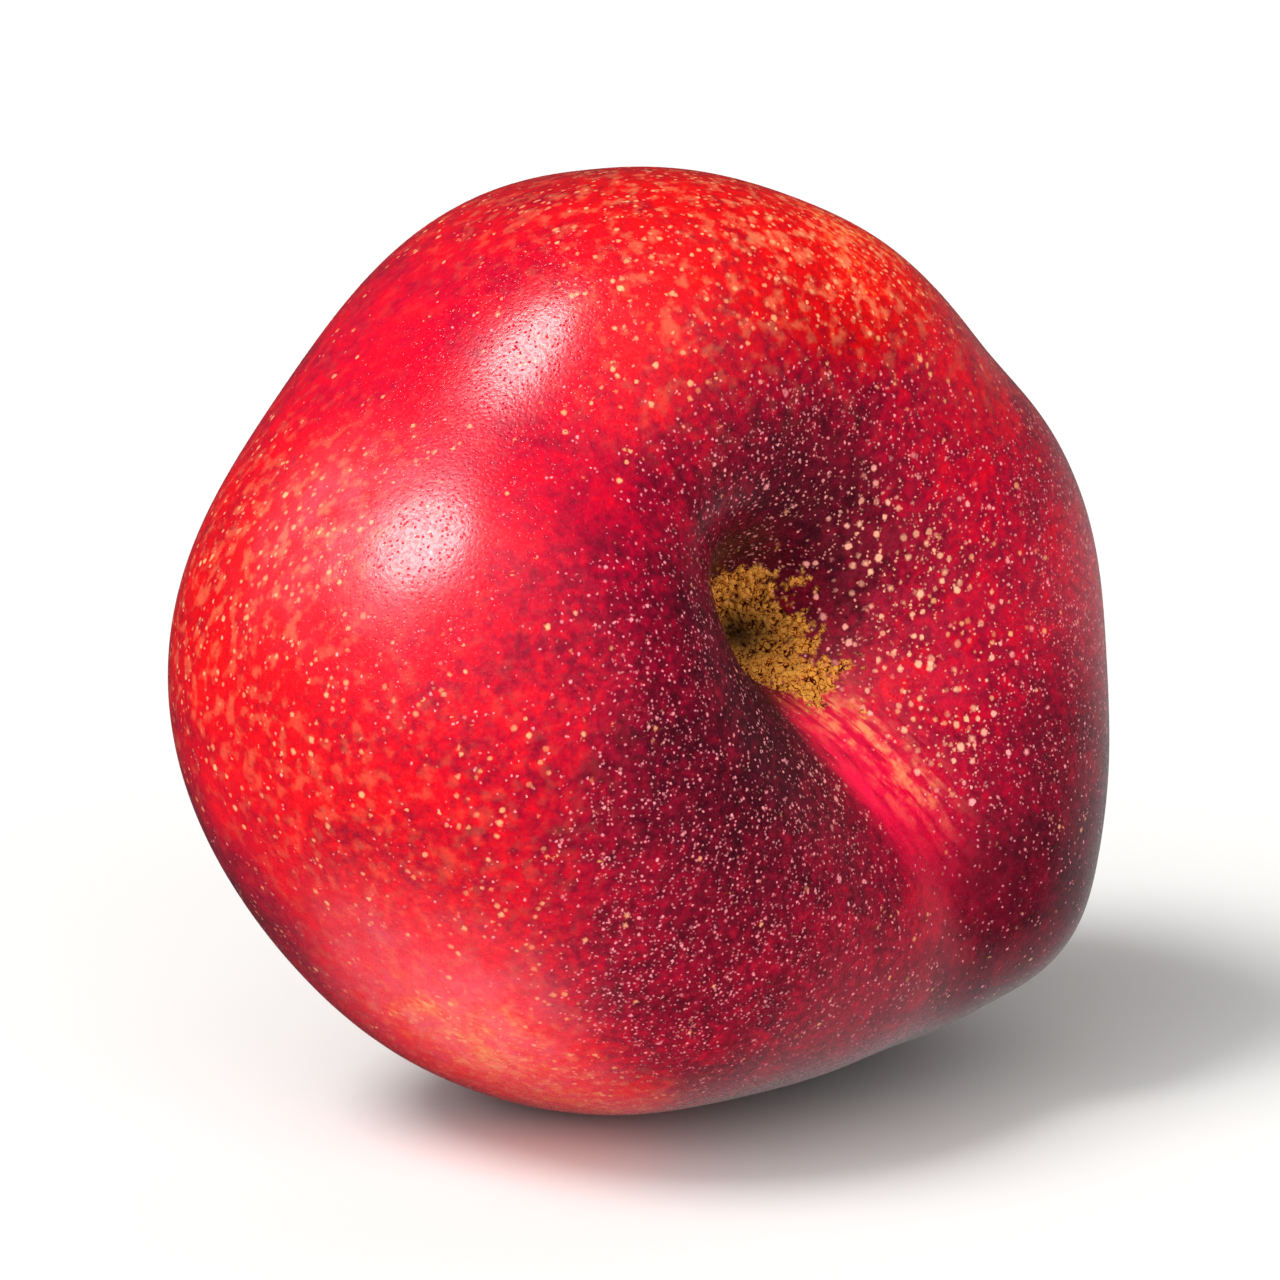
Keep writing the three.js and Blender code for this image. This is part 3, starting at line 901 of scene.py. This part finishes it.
def with_scar(tree, painted, clouds, colour):
    """The stalk scar: a green folded face with its palest tones partly painted highlight, dried brown round
    its stub, and a thin tan rim.
    """
    fibres = add(tree, "ShaderNodeMath", {0: painted["fold"], 1: 0.60, 2: clouds["fibre"]},
                 operation="MULTIPLY_ADD")
    fibres = add(tree, "ShaderNodeMapRange", {"Value": fibres, "From Min": 0.15, "From Max": 0.80})
    dried = add(tree, "ShaderNodeMapRange", {
        "Value": clouds["thread"], "From Min": 0.40, "From Max": 0.58, "To Min": 0.55, "To Max": 1.0})
    # The folds' palest tones are partly painted highlight.
    face = set_tones(add(tree, "ShaderNodeValToRGB", {"Fac": fibres}), SCAR_TONES_WITH_PAINTED_LIGHT)
    face = lay_over(tree, face, painted["stub"], dried, linear(DRIED_COLOUR))
    colour = lay_over(tree, colour, painted["scar"], 1.0, face)
    return lay_over(tree, colour, painted["scar_rim"], 1.0, linear(RIM_COLOUR))


def skin_dullness(tree, skin, painted, clouds, bloom_and_sheen_cover):
    """Roughness: that of the wax, and more under the bloom and its painted sheen, in specks, in the pit and
    on cork.
    """
    speckle = add(tree, "ShaderNodeMapRange",
                  {"Value": clouds["dimple"], "From Min": 0.48, "From Max": 0.58, "To Max": 0.12},
                  interpolation_type="SMOOTHSTEP")
    corky = add(tree, "ShaderNodeMath", {0: painted["russet"], 1: painted["scar"]}, operation="MAXIMUM")
    rough = skin.skin_roughness
    for share, more in ((bloom_and_sheen_cover, 0.28), (speckle, 1.0), (painted["pit_wall"], 0.65), (corky, 0.45)):
        rough = add(tree, "ShaderNodeMath", {0: share, 1: more, 2: rough}, operation="MULTIPLY_ADD",
                    use_clamp=True)
    return rough


def skin_relief(tree, painted, clouds, place):
    """Fine dimples, wider swells, the threads of the cork, and sunken pits 0.2 mm across.

    The pits break the shine up into grain.
    """
    threads = add(tree, "ShaderNodeMath", {0: clouds["thread"], 1: painted["russet"]}, operation="MULTIPLY")
    sunken = add(tree, "ShaderNodeTexVoronoi", {"Vector": place, "Scale": 1 / (SUNKEN_SPACING * MM)},
                 "Distance")
    sunken = add(tree, "ShaderNodeMapRange",
                 {"Value": sunken, "From Max": 0.32, "To Min": -1.7, "To Max": 0.0},
                 interpolation_type="SMOOTHSTEP")
    height = clouds["dimple"]
    for rise, share in ((clouds["swell"], 1.2), (threads, 9.0), (sunken, 1.0)):
        height = add(tree, "ShaderNodeMath", {0: rise, 1: share, 2: height}, operation="MULTIPLY_ADD")
    return add(tree, "ShaderNodeBump", {"Height": height, "Distance": 0.021 * MM, "Strength": 1.0})


def fruit_material(skin, attribute_names):
    """Fruit skin: a thin, waxy cuticle over coloured flesh.

    To the eye it is red to maroon over a yellow ground, peppered with pale pores, with a broad
    soft shine broken up by fine dimples. Cork in the pit and fibres in the scar are dull.
    """
    material = bpy.data.materials.new("nectarine skin, waxy cuticle")
    material.use_nodes = True
    tree = material.node_tree
    tree.nodes.clear()
    place = add(tree, "ShaderNodeTexCoord", output="Object")
    painted = {}
    for name in attribute_names:
        painted[name] = add(tree, "ShaderNodeAttribute", output="Fac", attribute_name=name)
    streak = add(tree, "ShaderNodeAttribute", output="Vector", attribute_name="streak")
    clouds = skin_clouds(tree, place, streak)
    pore_place = uneven_places(tree, place)

    bloom_and_sheen_cover = bloom_and_sheen_veil(tree, painted, clouds)
    colour = toned_skin(tree, painted, clouds)
    # Pale waxy bloom, and in places painted sheen round the shine and painted reflection of the paper.
    colour = lay_over(tree, colour, bloom_and_sheen_cover, 1.0, tuple(skin.bloom_and_sheen_colour))
    colour = with_ground(tree, skin, painted, clouds, pore_place, colour)
    colour = with_seam(tree, skin, painted, clouds, colour)
    colour = with_pores(tree, skin, painted, clouds, place, pore_place, colour)
    colour = with_cork(tree, painted, clouds, place, colour)
    colour = with_stem_side(tree, painted, clouds, colour)
    colour = with_scar(tree, painted, clouds, colour)

    surface = add(tree, "ShaderNodeBsdfPrincipled", {
        "Base Color": colour, "Roughness": skin_dullness(tree, skin, painted, clouds, bloom_and_sheen_cover),
        "Normal": skin_relief(tree, painted, clouds, place), "IOR": 1.45, "Specular IOR Level": 0.40})
    add(tree, "ShaderNodeOutputMaterial", {"Surface": surface})
    return material


def floor_material(stage):
    """Seamless background paper: uncoated and even, so it is matt and takes soft shadows."""
    material = bpy.data.materials.new("seamless paper")
    material.use_nodes = True
    shader = material.node_tree.nodes["Principled BSDF"]
    shader.inputs["Base Color"].default_value = tuple(stage.floor_colour)
    shader.inputs["Roughness"].default_value = 0.9
    return material


# ---------------- floor, light and camera


def lay_floor(stage):
    """A wide sheet of pale paper under the fruit."""
    bm = bmesh.new()
    bmesh.ops.create_grid(bm, x_segments=1, y_segments=1, size=FLOOR_REACH)
    mesh = bpy.data.meshes.new("floor")
    bm.to_mesh(mesh)
    bm.free()
    floor = bpy.data.objects.new("floor", mesh)
    bpy.context.scene.collection.objects.link(floor)
    mesh.materials.append(floor_material(stage))
    floor.visible_glossy = False


def surround(stage):
    """The dim studio round the fruit, with the glow round the key light and the pale paper."""
    world = bpy.data.worlds.new("studio")
    bpy.context.scene.world = world
    world.use_nodes = True
    tree = world.node_tree
    towards = add(tree, "ShaderNodeTexCoord", output="Generated")
    glows = []
    for middle, edge, outside, inside in ((GLOW_FROM, GLOW_EDGE, stage.low_glow, stage.key_glow),
                                          (PAPER_FROM, PAPER_EDGE, 0.0, stage.paper_glow)):
        cosine = add(tree, "ShaderNodeVectorMath", {0: towards, 1: Vector(middle).normalized()}, "Value",
                     operation="DOT_PRODUCT")
        glows.append(add(tree, "ShaderNodeMapRange", {
            "Value": cosine, "From Min": edge[0], "From Max": edge[1], "To Min": outside, "To Max": inside},
            interpolation_type="SMOOTHSTEP"))
    glow = add(tree, "ShaderNodeMath", {0: glows[0], 1: glows[1]}, operation="ADD")
    background = tree.nodes["Background"]
    background.inputs["Color"].default_value = (1, 1, 1, 1)
    tree.links.new(glow, background.inputs["Strength"])


def hang_light(name, strength, angle, side):
    """A soft light from one side, which fills the given angle."""
    light = bpy.data.lights.new(name, "SUN")
    light.energy = strength
    light.angle = angle
    lamp = bpy.data.objects.new(name, light)
    lamp.rotation_euler = Vector(side).to_track_quat("Z", "Y").to_euler()
    bpy.context.scene.collection.objects.link(lamp)
    return lamp


def set_camera(stage):
    """A camera that looks down on the fruit a little, with the whole fruit in its picture."""
    up = Vector((0, sin(stage.view_elevation), cos(stage.view_elevation)))
    back = Vector((0, -cos(stage.view_elevation), sin(stage.view_elevation)))
    aim = MIDDLE * MM + Vector((PICTURE_RIGHT * MM, 0, 0)) + up * PICTURE_UP * MM
    camera = bpy.data.objects.new("camera", bpy.data.cameras.new("camera"))
    camera.location = aim + back * stage.view_distance
    camera.rotation_euler = (radians(90) - stage.view_elevation, 0, 0)
    camera.data.sensor_width = SENSOR_WIDTH
    camera.data.lens = camera.data.sensor_width * stage.view_distance / stage.view_width
    camera.data.clip_start = 0.01
    camera.data.clip_end = 20
    bpy.context.scene.collection.objects.link(camera)
    bpy.context.scene.camera = camera


# ---------------- the operators


class NECTARINE_OT_fruit(bpy.types.Operator):
    """Build the fruit and its skin"""

    bl_idname = "nectarine.fruit"
    bl_label = "Fruit"

    def execute(self, context):
        fruit, attribute_names = build_fruit(context.scene.nectarine_form)
        fruit.data.materials.append(fruit_material(context.scene.nectarine_skin, attribute_names))
        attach(fruit, "root")
        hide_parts("nectarine")
        return {"FINISHED"}


class NECTARINE_OT_stage(bpy.types.Operator):
    """Lay the pale floor, hang the soft lights and set up the camera"""

    bl_idname = "nectarine.stage"
    bl_label = "Stage"

    def execute(self, context):
        stage = context.scene.nectarine_stage
        lay_floor(stage)
        surround(stage)
        hang_light("key", stage.key_strength, stage.key_softness, KEY_FROM)
        # Two huge diffusers, before and behind: they lift the shadows and give no shine of their own.
        for name, strength, side in (("fill", stage.fill_strength, FILL_FROM),
                                     ("rear fill", stage.rear_strength, REAR_FROM)):
            lamp = hang_light(name, strength, radians(DIFFUSER_ANGLE), side)
            lamp.visible_glossy = False
        set_camera(stage)
        context.scene.view_settings.view_transform = "Standard"
        return {"FINISHED"}


class NECTARINE_PT_panel(bpy.types.Panel):
    """Lists what the nectarine is made of"""

    bl_idname = "NECTARINE_PT_panel"
    bl_label = "Flat nectarine"
    bl_space_type = "VIEW_3D"
    bl_region_type = "UI"
    bl_category = "Nectarine"

    def draw(self, context):
        layout = self.layout
        scene = context.scene
        for group in (scene.nectarine_form, scene.nectarine_skin, scene.nectarine_stage):
            box = layout.box()
            for name in group.__annotations__:
                box.prop(group, name)
        layout.operator(NECTARINE_OT_fruit.bl_idname)
        layout.operator(NECTARINE_OT_stage.bl_idname)


CLASSES = (
    NectarineForm, NectarineSkin, NectarineStage,
    NECTARINE_OT_fruit, NECTARINE_OT_stage, NECTARINE_PT_panel,
)


def register():
    for cls in CLASSES:
        bpy.utils.register_class(cls)
    bpy.types.Scene.nectarine_form = PointerProperty(type=NectarineForm)
    bpy.types.Scene.nectarine_skin = PointerProperty(type=NectarineSkin)
    bpy.types.Scene.nectarine_stage = PointerProperty(type=NectarineStage)


def unregister():
    del bpy.types.Scene.nectarine_stage
    del bpy.types.Scene.nectarine_skin
    del bpy.types.Scene.nectarine_form
    for cls in reversed(CLASSES):
        bpy.utils.unregister_class(cls)


def main():
    register()
    bpy.ops.nectarine.fruit()
    bpy.ops.nectarine.stage()


if __name__ == "__main__":
    main()
